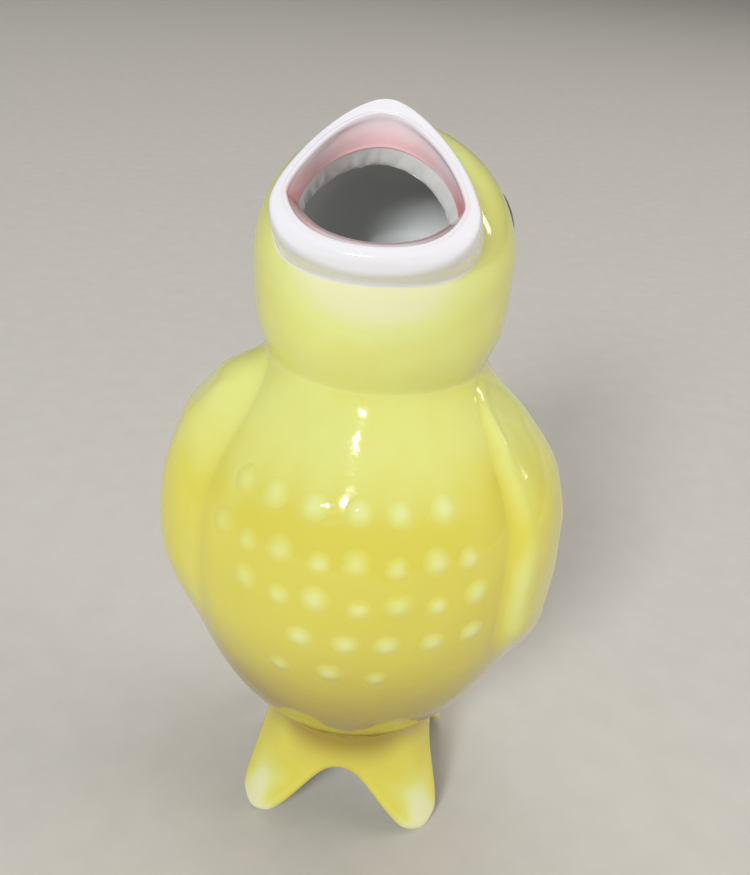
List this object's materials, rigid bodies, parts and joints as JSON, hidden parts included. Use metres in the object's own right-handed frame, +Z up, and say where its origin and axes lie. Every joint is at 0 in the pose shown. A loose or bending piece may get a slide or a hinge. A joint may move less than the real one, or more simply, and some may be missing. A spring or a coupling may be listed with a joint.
{
  "type": "ceramic pie bird",
  "caption": "Hollow glazed ceramic chick that stands on arched feet and vents steam through its wide open upturned beak.",
  "frame": {"origin": "on the table, midway between the object's front and back and its two sides", "axes": "+Z up, the bird faces -Y, +X is the bird's left"},
  "size_m": [0.0458, 0.0436, 0.0848],
  "materials": {
    "yellow_glaze": "glossy lemon-yellow glaze over white earthenware, paler where it runs thin",
    "pink_glaze": "glossy near-white glaze with sprayed pale pink on the inner bevel",
    "dark_enamel": "dark painted enamel under clear glaze",
    "pale_glaze": "glossy thin yellow glaze, whitish on the raised dots"
  },
  "bodies": {
    "root": {"body_shell": "yellow_glaze", "head_shell": "yellow_glaze", "foot_skirt": "yellow_glaze", "left_wing": "yellow_glaze", "right_wing": "yellow_glaze", "tail": "yellow_glaze", "upper_beak": "pink_glaze", "lower_beak": "pink_glaze", "left_eye": "dark_enamel", "right_eye": "dark_enamel", "breast_pips": "pale_glaze"}
  },
  "joints": []
}
